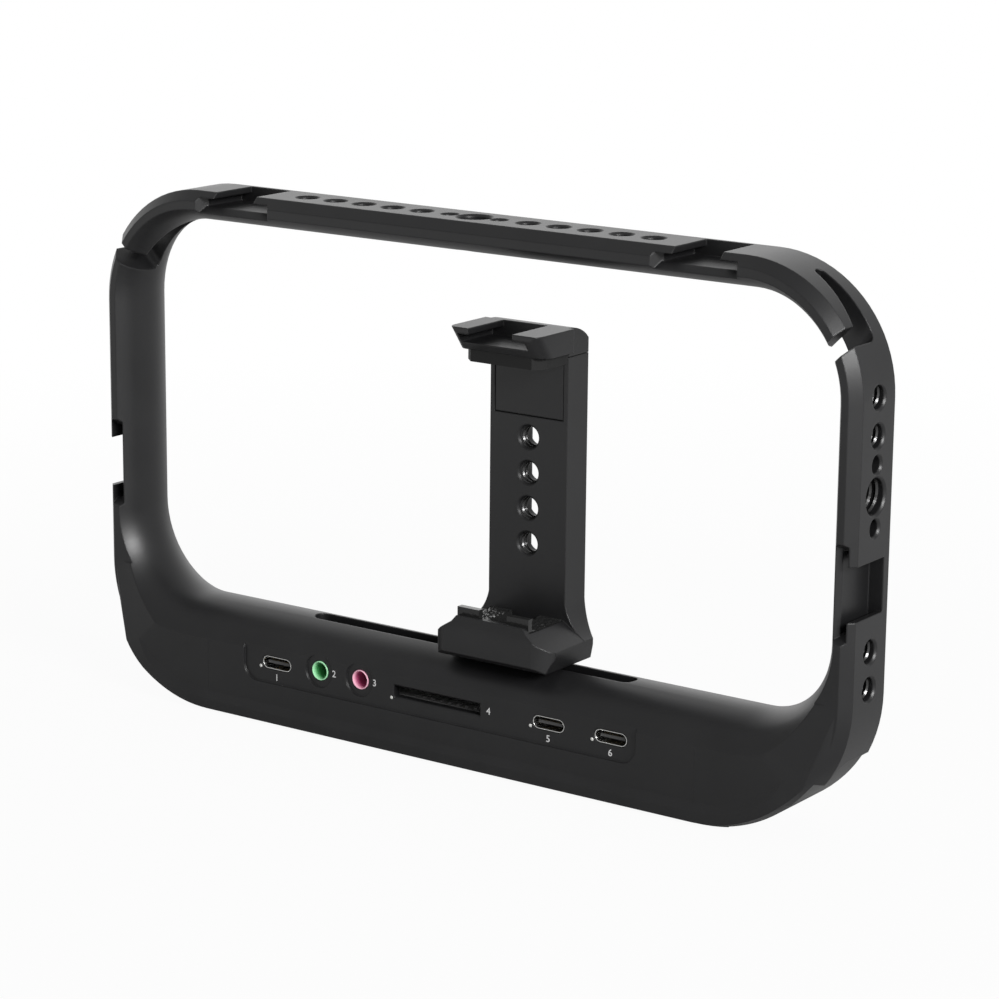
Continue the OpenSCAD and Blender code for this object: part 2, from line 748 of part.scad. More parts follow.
module usb_tongue_left() usb_tongue(usb_left_x);

module usb_tongue_middle() usb_tongue(usb_middle_x);

module usb_tongue_right() usb_tongue(usb_right_x);

module jack(x) {
    front = cavity_front + 0.1;
    color([0.06, 0.06, 0.06]) translate([x, 0, jack_z]) difference() {
        along_y(front, front + 12) square([6.4, 2 * jack_rise - 0.1], center = true);
        along_y(front - 1, front + 10.5) circle(d = jack_bore);
    }
}

module collar(x) {
    translate([x, 0, jack_z]) difference() {
        along_y(panel_y + well_depth - 0.3, cavity_front + 0.05) circle(d = collar_d);
        along_y(panel_y - 1, cavity_front + 1) circle(d = jack_bore + 0.2);
    }
}

module headphone_jack() jack(headphone_x);

module headphone_collar() color([0.45, 0.75, 0.2]) collar(headphone_x);

module microphone_jack() jack(microphone_x);

module microphone_collar() color([0.9, 0.45, 0.6]) collar(microphone_x);

module card_socket() {
    wall = 0.35;
    front = cavity_front + 0.1;
    back = cover_y - 0.3;
    low = board_top + 0.05;
    color([0.75, 0.75, 0.77]) difference() {
        translate([card_x - card_w / 2 - wall, front, low])
            cube([card_w + 2 * wall, min(card_l, back - front), card_h + wall]);
        translate([card_x - card_w / 2, front - 1, low - 1])
            cube([card_w, min(card_l, back - front) + 1 - wall, card_h + 1]);
    }
}

module card_contacts() {
    back = cavity_front + 0.1 + min(card_l, cover_y - 0.4 - cavity_front) - 0.45;
    low = board_top + 0.05;
    pitch = card_w / 10.2;
    color([0.12, 0.12, 0.12]) {
        translate([card_x - card_w / 2 + 0.1, back - contact_block, low])
            cube([card_w - 0.2, contact_block, card_h - 0.1]);
        for (i = [-4 : 4])
            translate([card_x + i * pitch - 0.5, back - contact_block - contact_l + 0.4, low])
                cube([1, contact_l, 0.25]);
    }
}

// Front outline of the clamp's base and column
module clamp_outline() {
    half = jaw_base_w / 2;
    col = column_w / 2;
    flare_h = 10;
    flare_r = (pow(half - col, 2) + flare_h * flare_h) / (2 * (half - col));
    shoulder = jaw_floor + 0.6;
    polygon([[-half + 1.4, clamp_low], [half - 1.4, clamp_low], [half, jaw_floor - 1],
        [half, shoulder], [-half, shoulder], [-half, jaw_floor - 1]]);
    translate([-col, clamp_low]) square([column_w, column_top - clamp_low]);
    for (side = [0, 1]) mirror([side, 0]) difference() {
        translate([col - 0.5, shoulder - 0.5]) square([half - col + 0.5, flare_h]);
        translate([col + flare_r - 0.2, shoulder + flare_h]) circle(flare_r);
    }
}

// Side outline of the clamp's base and column
module clamp_side() {
    polygon([[column_back, clamp_low + 2], [column_back - 2, clamp_low], [-lip_y + 2.4, clamp_low],
        [-lip_y, clamp_low + 1.6], [-lip_y, jaw_floor], [column_y, jaw_floor],
        [column_y, column_top], [column_back, column_top]]);
}

// Plan of the clamp, with the edges of its column and the corners of its base cut off
module column_plan() {
    base = jaw_base_w / 2;
    col = column_w / 2;
    half = [[0, -lip_y - 1], [base - 1.65 * base_round, -lip_y - 1],
        [base - 0.7 * base_round, -lip_y + 0.16 * base_round], [base - 0.16 * base_round, -lip_y + 0.7 * base_round],
        [base + 1, -lip_y + 1.65 * base_round], [base + 1, column_back - 7],
        [col, column_back - edge_cut], [col - edge_cut, column_back], [0, column_back]];
    for (side = [0, 1]) mirror([side, 0]) polygon(half);
}

// Slope of the lower jaw from its lip to its end: x, z
function jaw_slope() = [[lip_top_w / 2, lip_top], [low_pad_w / 2 + 0.4, flank_top],
    [jaw_base_w / 2 - 2.8, jaw_floor + 2.2], [jaw_base_w / 2, jaw_floor + 0.4], [jaw_base_w / 2, jaw_floor - 1]];

// Lip of the lower jaw, and the walls beside its pad
module jaw_lip() {
    wall = low_pad_w / 2 + seat_gap;
    intersection() {
        along_x(jaw_base_w)
            polygon([[-lip_y, jaw_floor - 1], [-lip_y, lip_top - 3.4], [-lip_y + 1, lip_top],
                [-lip_y + lip_t, lip_top], [-lip_y + lip_t, jaw_floor - 1]]);
        along_y(-lip_y - 1, 0)
            for (side = [0, 1]) mirror([side, 0]) polygon(concat([[0, jaw_floor - 1], [0, lip_top]], jaw_slope()));
    }
    along_y(-lip_y + lip_t / 2, column_y + 1)
        for (side = [0, 1]) mirror([side, 0]) intersection() {
            polygon(concat([[0, jaw_floor - 1], [0, lip_top]], jaw_slope()));
            translate([wall, 0]) square([jaw_base_w, flank_top]);
        }
}

module clamp_column() {
    web_back = column_y + web_t;
    pocket = tongue_w / 2 + slide_gap;
    color([0.13, 0.13, 0.14]) translate([clamp_x, 0, 0]) difference() {
        union() {
            intersection() {
                along_y(-lip_y, column_back) clamp_outline();
                along_x(jaw_base_w + 2) clamp_side();
                linear_extrude(column_top) column_plan();
            }
            intersection() {
                jaw_lip();
                linear_extrude(column_top) column_plan();
            }
        }
        translate([-rail_gap / 2, web_back, web_hole_z - 9])
            cube([rail_gap, column_d, column_top]);
        translate([-pocket, column_y - 1, tongue_low - slide_gap])
            cube([2 * pocket, tongue_t + 1 + 2 * slide_gap, column_top]);
        for (i = [0 : web_hole_count - 1])
            translate([0, column_y, web_hole_z + i * hole_pitch]) rotate([90, 0, 0])
                tapped(quarter_bore, web_t + 4);
        translate([0, column_y - 1, column_top - tongue_hole_drop]) rotate([-90, 0, 0])
            cylinder(d = tongue_hole, h = column_d);
        for (x = [-1, 1])
            translate([x * rod_pitch / 2, rod_y, rod_low - 3])
                cylinder(d = rod_d + 2 * round_gap, h = column_top);
        translate([-rod_pitch / 2, rod_y, lock_z]) rotate([-90, 0, 0])
            cylinder(d = lock_screw_d + 2 * round_gap, h = column_d);
        translate([0, 0, clamp_low - 1])
            cylinder(d = slide_screw_d + 2 * round_gap, h = jaw_floor);
        translate([0, 0, jaw_floor])
            cylinder(d = slide_head_d + 1, h = slide_head_h + 0.6);
    }
}

module lower_pad() {
    back = column_y - seat_gap;
    color([0.05, 0.05, 0.05]) translate([clamp_x, 0, 0]) difference() {
        along_x(low_pad_w)
            polygon([[-lip_y + lip_t + seat_gap, jaw_floor], [back, jaw_floor],
                [back, jaw_floor + low_pad_t], [pad_front, jaw_floor + low_pad_t],
                [pad_front, jaw_floor + low_pad_rise],
                [-lip_y + lip_t + seat_gap, jaw_floor + low_pad_rise]]);
        translate([0, 0, jaw_floor - 1]) cylinder(d = slide_head_d + 1, h = 12);
        translate([-slide_head_d / 2 - 0.5, 0, jaw_floor - 1]) cube([slide_head_d + 1, column_d, 12]);
    }
}

module slide_nut() {
    color([0.7, 0.7, 0.72]) translate([clamp_x, 0, 0]) difference() {
        union() {
            translate([-nut_l / 2, -channel_w / 2 + slide_gap, channel_low + slide_gap])
                cube([nut_l, channel_w - 2 * slide_gap, channel_h - 2 * slide_gap]);
            translate([-nut_l / 2, -slot_w / 2 + slide_gap, channel_low + 1])
                cube([nut_l, slot_w - 2 * slide_gap, clamp_low - channel_low - 1]);
        }
        translate([0, 0, channel_low - 1]) cylinder(d = slide_screw_d + 2 * round_gap, h = 20);
    }
}

module slide_screw() {
    color([0.75, 0.75, 0.77]) translate([clamp_x, 0, 0]) difference() {
        union() {
            translate([0, 0, channel_low + 0.4])
                cylinder(d = slide_screw_d, h = jaw_floor - channel_low);
            translate([0, 0, jaw_floor + seat_gap]) cylinder(d = slide_head_d, h = slide_head_h);
        }
        translate([0, 0, jaw_floor + 1.2]) cylinder(d = 3.4, h = 5, $fn = 6);
    }
}

// Side outline of the upper jaw's plate
module jaw_plate_side() {
    polygon([[-jaw_tip_y, jaw_top], [round_y, jaw_top], [round_y, jaw_plate_low],
        [jaw_foot_y, jaw_plate_low], [-jaw_tip_y, jaw_top - jaw_edge]]);
}

// Side outline of the neck, rounded from the plate down to the column
module jaw_neck_side() {
    over = 1;
    rise = jaw_top - neck_low;
    polygon(concat([[column_y, jaw_plate_low], [column_y, neck_low]],
        [for (i = [0 : 9]) [round_y + jaw_round * cos(10 * i), neck_low + rise * sin(10 * i)]],
        [[round_y - over, jaw_top], [round_y - over, jaw_plate_low]]));
}

// Space inside the plate's rounded front corners, along its leaning front
module jaw_corners() {
    out = 0.05;
    w = jaw_w + 2 * out;
    translate([0, -jaw_tip_y, jaw_top - jaw_edge]) rotate([atan(jaw_lean / (jaw_plate_t - jaw_edge)), 0, 0])
        translate([0, past / 2 - out, -past]) linear_extrude(2 * past) rounded(w, past, jaw_corner_r);
}

module upper_jaw() {
    color([0.13, 0.13, 0.14]) translate([clamp_x, 0, 0]) difference() {
        union() {
            intersection() {
                along_x(jaw_w) jaw_plate_side();
                jaw_corners();
            }
            intersection() {
                along_x(column_w + 1) jaw_neck_side();
                linear_extrude(jaw_top + 1) column_plan();
                translate([-column_w / 2, -past, 0]) cube([column_w, 2 * past, jaw_top + 1]);
            }
            translate([-tongue_w / 2, column_y + seat_gap, tongue_low])
                cube([tongue_w, tongue_t, neck_low + 1 - tongue_low]);
        }
        translate([jaw_shoe_x, jaw_shoe_stop - past, jaw_top]) {
            translate([-shoe_wide / 2, 0, -shoe_lip - shoe_deep]) cube([shoe_wide, past, shoe_deep]);
            translate([-shoe_gap / 2, 0, -shoe_lip - 0.5]) cube([shoe_gap, past, shoe_lip + 2]);
        }
        translate([0, 0, column_top - tongue_hole_drop]) rotate([-90, 0, 0])
            cylinder(d = tongue_hole, h = column_y + tongue_t + 1);
        for (x = [-1, 1])
            translate([x * rod_pitch / 2, rod_y, neck_low - 1])
                cylinder(d = rod_d + 0.04, h = 3.6);
    }
}

module upper_pad() {
    half = column_w / 2;
    back = column_y - seat_gap;
    corner = jaw_corner_r - 0.6;
    color([0.05, 0.05, 0.05]) translate([clamp_x, 0, jaw_plate_low - up_pad_t]) linear_extrude(up_pad_t)
        polygon([[-half, back], [-half, jaw_foot_y + corner], [corner - half, jaw_foot_y],
            [half - corner, jaw_foot_y], [half, jaw_foot_y + corner], [half, back]]);
}

module guide_rods() {
    color([0.75, 0.75, 0.77])
        for (x = rods)
            translate([x, rod_y, rod_low]) cylinder(d = rod_d, h = column_top + slide_gap + 2.5 - rod_low);
}

module lock_knob() {
    front = column_back + 0.4;
    color([0.1, 0.1, 0.1]) translate([lock_x, 0, lock_z]) rotate([-90, 0, 0]) difference() {
        translate([0, 0, front]) cylinder(d = knob_d, h = knob_l);
        for (i = [0 : knob_grooves - 1])
            rotate([0, 0, i * 360 / knob_grooves])
                translate([knob_d / 2 + 0.25, 0, front + 1.2]) cylinder(d = 1.3, h = knob_l);
        translate([0, 0, front - 1]) cylinder(d = lock_screw_d + 0.04, h = knob_l - 1);
    }
}

module lock_screw() {
    tip = rod_y + rod_d / 2 + slide_gap;
    color([0.75, 0.75, 0.77]) translate([lock_x, 0, lock_z]) rotate([-90, 0, 0])
        translate([0, 0, tip]) cylinder(d = lock_screw_d, h = column_back + knob_l - 1.8 - tip);
}

cage_frame();
rear_cover();
rear_cover_screws();
hub_board();
hub_chip();
usb_shell_left();
usb_shell_middle();
usb_shell_right();
usb_tongue_left();
usb_tongue_middle();
usb_tongue_right();
headphone_jack();
headphone_collar();
microphone_jack();
microphone_collar();
card_socket();
card_contacts();
clamp_column();
lower_pad();
slide_nut();
slide_screw();
upper_jaw();
upper_pad();
guide_rods();
lock_knob();
lock_screw();
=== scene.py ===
# %% [markdown]
# # A phone cage
# A phone cage is a metal ring that a phone is clamped in, so that lights, handles and microphones can be
# screwed on round it. This one has a data hub in its thick lower bar. The solids come from a CAD model,
# which stays where it is: this lesson gives every piece its finish, adds the threads, rubber and print that
# a CAD model leaves out, and lights the whole as on a white table.

# %% Load the CAD frame
import json
import math
import random

import bmesh
import bpy
from mathutils import Matrix, Vector


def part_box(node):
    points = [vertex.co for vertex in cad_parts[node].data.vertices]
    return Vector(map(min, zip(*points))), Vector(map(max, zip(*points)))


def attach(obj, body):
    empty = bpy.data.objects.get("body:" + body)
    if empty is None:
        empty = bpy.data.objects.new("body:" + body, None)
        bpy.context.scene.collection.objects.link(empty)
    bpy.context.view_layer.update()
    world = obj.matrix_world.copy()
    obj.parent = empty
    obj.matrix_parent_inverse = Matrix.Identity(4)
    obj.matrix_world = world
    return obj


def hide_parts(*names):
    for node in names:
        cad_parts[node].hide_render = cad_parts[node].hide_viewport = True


MM = 0.001
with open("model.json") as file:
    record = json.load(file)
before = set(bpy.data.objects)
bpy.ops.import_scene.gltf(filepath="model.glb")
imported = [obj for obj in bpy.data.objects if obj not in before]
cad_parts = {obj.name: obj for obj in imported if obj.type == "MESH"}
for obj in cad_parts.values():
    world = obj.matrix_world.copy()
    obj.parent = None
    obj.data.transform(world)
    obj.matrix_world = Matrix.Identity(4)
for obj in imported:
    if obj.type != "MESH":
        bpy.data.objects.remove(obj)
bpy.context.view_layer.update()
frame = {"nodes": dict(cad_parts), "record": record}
nodes = frame["nodes"]
record = frame["record"]
body_of = {node: body for body, members in record["behaviour"]["bodies"].items() for node in members}
slot_of = {part["node"]: part["material_slot"] for part in record["subparts"]}
scene = bpy.context.scene
scene.view_settings.view_transform = "Standard"

# %% [markdown]
# ## The camera
# The photograph was taken from the right and a little above, with a long lens from under a metre away. A
# camera can be aimed with a Track To constraint. Here its three axes are worked out from the azimuth, the
# elevation and a slight roll, because the numbers then say directly where the camera stood.

# %% Camera at the photograph's viewing angle
VIEW_AZIMUTH = math.radians(35.31)
VIEW_ELEVATION = math.radians(13.59)
VIEW_ROLL = math.radians(0.55)
VIEW_DISTANCE = 760.5 * MM
AIM_BELOW_TOP = 66.3 * MM
AIM_RIGHT = 7.9 * MM
LENS = 116.37
SENSOR_WIDTH = 36


def heading(azimuth, elevation):
    return Vector((
        math.sin(azimuth) * math.cos(elevation),
        -math.cos(azimuth) * math.cos(elevation),
        math.sin(elevation),
    ))


ring_low, ring_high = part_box("cage_frame")
aim = Vector((AIM_RIGHT, 0, ring_high.z - AIM_BELOW_TOP))
back = heading(VIEW_AZIMUTH, VIEW_ELEVATION)
level = Vector((math.cos(VIEW_AZIMUTH), math.sin(VIEW_AZIMUTH), 0))
upright = back.cross(level)
right = math.cos(VIEW_ROLL) * level + math.sin(VIEW_ROLL) * upright
up = math.cos(VIEW_ROLL) * upright - math.sin(VIEW_ROLL) * level
camera = bpy.data.objects.new("camera", bpy.data.cameras.new("camera"))
camera.data.lens = LENS
camera.data.sensor_width = SENSOR_WIDTH
camera_axes = Matrix((right, up, back)).transposed().to_4x4()
camera.matrix_world = Matrix.Translation(aim + VIEW_DISTANCE * back) @ camera_axes
scene.collection.objects.link(camera)
scene.camera = camera
print("camera at", [round(c, 3) for c in camera.location])

# %% [markdown]
# ## Writing finishes as sums
# Every finish below is a node tree. Wiring nodes by hand hides the idea behind many lines, so three small
# helpers come first. A Signal is a socket that can be added, subtracted, multiplied and divided in Python. A
# NodeTree has one method that makes any other node. A Finish is a material that holds such a tree.

# %% A socket that can be used in Python sums
class Signal:
    def __init__(self, owner, socket):
        self.owner = owner
        self.socket = socket

    def maths(self, operation, first, second):
        return self.owner.node("Math", {"operation": operation}, {0: first, 1: second})

    def __add__(self, other):
        return self.maths("ADD", self, other)

    def __sub__(self, other):
        return self.maths("SUBTRACT", self, other)

    def __rsub__(self, other):
        return self.maths("SUBTRACT", other, self)

    def __mul__(self, other):
        return self.maths("MULTIPLY", self, other)

    def __truediv__(self, other):
        return self.maths("DIVIDE", self, other)

    def __rtruediv__(self, other):
        return self.maths("DIVIDE", other, self)

    __radd__ = __add__
    __rmul__ = __mul__


# %% A node tree with one way to make a node
MIX_FACTOR = 0
MIX_LOW_COLOUR = 6
MIX_HIGH_COLOUR = 7
MIX_COLOUR_RESULT = 2


class NodeTree:
    def __init__(self, tree):
        self.tree = tree

    def feed(self, socket, value):
        if isinstance(value, Signal):
            self.tree.links.new(value.socket, socket)
        else:
            socket.default_value = value

    def node(self, kind, settings=None, inputs=None, output=0):
        made = self.tree.nodes.new("ShaderNode" + kind)
        for key, value in (settings or {}).items():
            if key == "stops":
                for stop, (place, grey) in zip(made.color_ramp.elements, value):
                    stop.position = place
                    stop.color = (grey, grey, grey, 1)
            else:
                setattr(made, key, value)
        for key, value in (inputs or {}).items():
            self.feed(made.inputs[key], value)
        return Signal(self, made.outputs[output])

    def place(self):
        return self.node("TexCoord", output="Object")

    def along(self, vector, axis):
        return self.node("SeparateXYZ", inputs={0: vector}, output=axis)

    def noise(self, scale, detail=2.0):
        return self.node("TexNoise", inputs={"Vector": self.place(), "Scale": scale, "Detail": detail})

    def between(self, mask, low, high):
        inputs = {MIX_FACTOR: mask, MIX_LOW_COLOUR: (*low, 1), MIX_HIGH_COLOUR: (*high, 1)}
        return self.node("Mix", {"data_type": "RGBA"}, inputs, output=MIX_COLOUR_RESULT)

    def ramp(self, mask, low, high):
        return self.node("ValToRGB", {"stops": [(low, 0), (high, 1)]}, {0: mask})


# %% A material with such a tree
class Finish(NodeTree):
    def __init__(self, name, colour=(0.5, 0.5, 0.5), roughness=0.5, metallic=0.0, constants=None):
        self.material = bpy.data.materials.new(name)
        self.material.use_nodes = True
        super().__init__(self.material.node_tree)
        self.surface = self.tree.nodes["Principled BSDF"]
        self.set("Base Color", (*colour, 1))
        self.set("Roughness", roughness)
        self.set("Metallic", metallic)
        for socket, value in (constants or {}).items():
            self.set(socket, value)

    def set(self, socket, value):
        self.feed(self.surface.inputs[socket], value)

    def roughen(self, height, strength, depth, **more):
        bump = self.node("Bump", inputs={"Strength": strength, "Distance": depth, "Height": height, **more})
        self.set("Normal", bump)


# %% [markdown]
# ## Black anodised aluminium
# The ring, the clamp and the cover are machined, blasted with fine beads and anodised black. Blasting leaves
# a grain of about a fifth of a millimetre, and the oxide is a clear glassy layer: nearly black when seen
# straight on, and as bright as the backdrop at a shallow angle. A metallic shader would be too bright from
# the front, so this is a dark shader with the gloss of glass, some grain, faint patches and slightly paler
# rounded edges.

# %% Black anodised finish
EDGE_ROUND = 0.5 * MM
EDGE_SAMPLES = 6
EDGE_RAMP = (0.02, 0.3)
PATCH_SCALE = 70.0
PATCH_RAMP = (0.45, 0.7)
PATCH_SWING = 0.06
BLAST_SWING = 0.05
BLAST_STRENGTH = 0.5
BLAST_DEPTH = 0.03 * MM
OXIDE_DARK = (0.006, 0.006, 0.0065)
OXIDE_WORN = (0.02, 0.02, 0.021)
GLASSY_IOR = 1.5


def black_anodised(name, roughness, grain_scale):
    finish = Finish(name, roughness=roughness, constants={"IOR": GLASSY_IOR})
    grain = finish.noise(grain_scale)
    patches = finish.noise(PATCH_SCALE, 3.0)
    rounded = finish.node("Bevel", {"samples": EDGE_SAMPLES}, {"Radius": EDGE_ROUND})
    flat = finish.node("NewGeometry", output="Normal")
    facing = finish.node("VectorMath", {"operation": "DOT_PRODUCT"}, {0: rounded, 1: flat}, output="Value")
    edge = finish.ramp(1 - facing, *EDGE_RAMP)
    worn = edge * finish.ramp(patches, *PATCH_RAMP)
    finish.set("Base Color", finish.between(0.5 * patches + 0.5 * worn, OXIDE_DARK, OXIDE_WORN))
    finish.set("Roughness", roughness - PATCH_SWING / 2 + PATCH_SWING * patches + BLAST_SWING * grain)
    finish.roughen(grain, BLAST_STRENGTH, BLAST_DEPTH, Normal=rounded)
    return finish.material


anodised = black_anodised("black_anodised", 0.36, 4500.0)
knob_anodised = black_anodised("black_anodised_knob", 0.3, 6000.0)
print("finishes:", anodised.name, knob_anodised.name)

# %% [markdown]
# ## Metals, plastics and rubber
# The small pieces need their own finishes: bright plating on the ports' shells, satin and blackened steel on
# rods and screws, moulded plastic in the jacks and the card socket, and rubber on the jaws. Each has one
# thing that tells it from the others, such as fine turning marks on steel or a waxy grain on rubber. One
# function for metals and one for moulded pieces give them all, from a colour, a gloss and a grain.

# %% Metal finishes
MARK_SHADE = 0.8
MARK_SWING = 0.12
MARK_STRENGTH = 0.15
MARK_DEPTH = 0.02 * MM


def turned_metal(name, colour, roughness, mark_scale):
    finish = Finish(name, colour, roughness, 1.0)
    marks = finish.noise(mark_scale, 4.0)
    finish.set("Roughness", roughness - MARK_SWING / 2 + MARK_SWING * marks)
    finish.set("Base Color", finish.between(marks, tuple(MARK_SHADE * c for c in colour), colour))
    finish.roughen(marks, MARK_STRENGTH, MARK_DEPTH)
    return finish.material


steel = turned_metal("satin_steel", (0.55, 0.55, 0.56), 0.3, 2500.0)
plating = turned_metal("bright_plating", (0.94, 0.94, 0.92), 0.22, 1800.0)
gilding = turned_metal("gilt_contacts", (0.83, 0.6, 0.25), 0.25, 3000.0)
thread_metal = turned_metal("thread_flanks", (0.11, 0.11, 0.11), 0.26, 2200.0)
black_steel = turned_metal("blackened_steel", (0.12, 0.12, 0.12), 0.3, 2500.0)
print("metals:", steel.name, plating.name, gilding.name, thread_metal.name, black_steel.name)

# %% Plastic and rubber finishes
GRAIN_SHADE = 0.75
GRAIN_SWING = 0.1
GRAIN_STRENGTH = 0.4
PLASTIC_GRAIN = 2500.0


def moulded(name, colour, roughness, grain_scale, depth, gloss=0.5):
    finish = Finish(name, colour, roughness, constants={"IOR": GLASSY_IOR, "Specular IOR Level": gloss})
    grain = finish.noise(grain_scale, 3.0)
    finish.set("Roughness", roughness - GRAIN_SWING / 2 + GRAIN_SWING * grain)
    finish.set("Base Color", finish.between(grain, tuple(GRAIN_SHADE * c for c in colour), colour))
    finish.roughen(grain, GRAIN_STRENGTH, depth)
    return finish.material


black_plastic = moulded("black_plastic", (0.02, 0.02, 0.02), 0.45, PLASTIC_GRAIN, 0.02 * MM)
green_plastic = moulded("green_plastic", (0.25, 0.6, 0.2), 0.3, PLASTIC_GRAIN, 0.01 * MM)
pink_plastic = moulded("pink_plastic", (0.75, 0.28, 0.42), 0.3, PLASTIC_GRAIN, 0.01 * MM)
board_lacquer = moulded("board_lacquer", (0.016, 0.017, 0.018), 0.3, 900.0, 0.02 * MM)
rubber = moulded("jaw_rubber", (0.012, 0.012, 0.012), 0.6, 1500.0, 0.05 * MM, 0.25)
grey_plastic = moulded("grey_plastic", (0.16, 0.16, 0.16), 0.4, PLASTIC_GRAIN, 0.02 * MM)
tongue_plastic = moulded("tongue_plastic", (0.075, 0.075, 0.075), 0.4, PLASTIC_GRAIN, 0.02 * MM)
pad_rubber = moulded("glossy_pad_rubber", (0.02, 0.02, 0.02), 0.1, 1500.0, 0.12 * MM)
# pale white of the domes beside the ports: a painted highlight for the glints on the ports' edges
painted_glint_white = moulded("painted_glint_white", (0.75, 0.75, 0.72), 0.2, 3000.0, 0.01 * MM)
white_ink = moulded("white_ink", (0.8, 0.8, 0.8), 0.5, 4000.0, 0.005 * MM)
print("plastics:", black_plastic.name, green_plastic.name, pink_plastic.name, rubber.name)

# %% [markdown]
# ## Dressing the CAD pieces
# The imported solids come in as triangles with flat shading, so that a bore or a rounded corner shows its
# facets. A piece with curved faces is therefore copied, its flat joints are smoothed, its real edges stay
# sharp, and the copy stands for the node. A pressed port shell has a rolled mouth, which a bevel gives to its
# front rim. Pieces that are all flat keep their CAD mesh and only take the finish.

# %% Finish of each material slot
PORT_SIDES = ("left", "middle", "right")
finish_of_slot = {
    "black_aluminium": anodised,
    "steel": steel,
    "board": board_lacquer,
    "black_plastic": black_plastic,
    "plated_shell": plating,
    "green_plastic": green_plastic,
    "pink_plastic": pink_plastic,
    "rubber": rubber,
}
finish_of_node = {"usb_tongue_" + side: tongue_plastic for side in PORT_SIDES}
finish_of_node["lock_knob"] = knob_anodised
finish_of_node["slide_screw"] = black_steel
finish_of_node["rear_cover_screws"] = black_steel
for node, piece in nodes.items():
    piece.data.materials.clear()
    piece.data.materials.append(finish_of_node.get(node, finish_of_slot[slot_of[node]]))
print("finishes set on", len(nodes), "nodes")

# %% From a form to a piece that rides on a body
SHARP_EDGE = math.radians(22)


def shade_smooth(form, sharp_from):
    for face in form.faces:
        face.smooth = True
    for edge in form.edges:
        edge.smooth = edge.calc_face_angle(math.pi) < sharp_from


def mesh_from(form, name):
    mesh = bpy.data.meshes.new(name)
    form.to_mesh(mesh)
    form.free()
    return mesh


def closed_mesh(form, name):
    bmesh.ops.recalc_face_normals(form, faces=form.faces)
    return mesh_from(form, name)


def add_piece(name, mesh, body, finish):
    piece = bpy.data.objects.new(name, mesh)
    mesh.materials.append(finish)
    scene.collection.objects.link(piece)
    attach(piece, body)
    return piece


# %% Rolled mouth of a port shell
FLAT_JOINT = math.radians(0.3)
RIM_ANGLE = math.radians(45)
ROLLED_EDGE = 0.12 * MM
RIM_REACH = ROLLED_EDGE / 10
ROLL_STEPS = 5


def roll_mouth(form):
    front = min(corner.co.y for corner in form.verts)
    bmesh.ops.dissolve_limit(form, angle_limit=FLAT_JOINT, verts=form.verts, edges=form.edges)
    rim = [edge for edge in form.edges if edge.calc_face_angle(0) > RIM_ANGLE and all(
        corner.co.y < front + RIM_REACH for corner in edge.verts)]
    bmesh.ops.bevel(
        form, geom=rim, offset=ROLLED_EDGE, offset_type="OFFSET", segments=ROLL_STEPS, profile=0.5,
        affect="EDGES")
    print("rolled edges:", len(rim))


# %% Smooth copies of the curved pieces
WELD = 0.002 * MM


def smooth_copy(node):
    source = nodes[node].data
    form = bmesh.new()
    corners = [form.verts.new(v.co) for v in source.vertices]
    for polygon in source.polygons:
        form.faces.new([corners[i] for i in polygon.vertices])
    bmesh.ops.remove_doubles(form, verts=form.verts, dist=WELD)
    if node.startswith("usb_shell"):
        roll_mouth(form)
    shade_smooth(form, SHARP_EDGE)
    name = node + "_finished"
    piece = add_piece(name, mesh_from(form, name), body_of[node], source.materials[0])
    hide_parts(node)


curved = [
    "cage_frame", "rear_cover", "rear_cover_screws", "usb_shell_left", "usb_shell_middle", "usb_shell_right",
    "headphone_jack", "microphone_jack", "clamp_column", "upper_jaw",
    "slide_screw", "slide_nut", "guide_rods", "lock_knob", "lock_screw",
]
for node in curved:
    smooth_copy(node)
print("smooth copies:", len(curved))

# %% [markdown]
# ## Threads
# The CAD bores are plain, at the minor diameter of their threads. A tapped hole shows bright turns when light
# falls in, so each bore gets a helical ridge. A Screw modifier could sweep it, but a loop over the angle
# gives full control of the run-out at both ends. The holes' places are read from the mounts in the record.

# %% One helical ridge
TURN_STEPS = 40
RUN_OUT_STEPS = 10
RIDGE = 0.32 * MM
ROOT_BITE = 0.02 * MM
ROOT_HALF = 0.36
CREST_HALF = 0.05


def join_rings(form, rings):
    for first, second in zip(rings, rings[1:]):
        for i in range(len(first)):
            j = (i + 1) % len(first)
            form.faces.new([first[i], first[j], second[j], second[i]])


def cap_ends(form, rings):
    form.faces.new(rings[0])
    form.faces.new(list(reversed(rings[-1])))


def thread_ridge(form, mouth, inward, radius, depth, pitch):
    side = inward.orthogonal().normalized()
    other = inward.cross(side)
    steps = int(TURN_STEPS * depth / pitch)
    rows = []
    for step in range(steps + 1):
        turn = 2 * math.pi * step / TURN_STEPS
        travel = depth * step / steps
        fade = min(1.0, step / RUN_OUT_STEPS, (steps - step) / RUN_OUT_STEPS)
        outward = math.cos(turn) * side + math.sin(turn) * other
        root = mouth + (radius + ROOT_BITE) * outward
        crest = mouth + (radius - RIDGE * fade) * outward
        rows.append([
            form.verts.new(root + (travel - ROOT_HALF * pitch) * inward),
            form.verts.new(crest + (travel - CREST_HALF * pitch) * inward),
            form.verts.new(crest + (travel + CREST_HALF * pitch) * inward),
            form.verts.new(root + (travel + ROOT_HALF * pitch) * inward),
        ])
    join_rings(form, rows)
    cap_ends(form, rows)


# %% Where each bore starts
COLUMN_FRONT = 4.0 * MM
MOSTLY = 0.5


def mouth_of(centre, axis):
    if axis.z > MOSTLY:
        return Vector((centre.x, centre.y, ring_high.z))
    if axis.z < -MOSTLY:
        return Vector((centre.x, centre.y, ring_low.z))
    if abs(axis.x) > MOSTLY:
        return Vector((axis.x * ring_high.x, centre.y, centre.z))
    return Vector((centre.x, COLUMN_FRONT, centre.z))


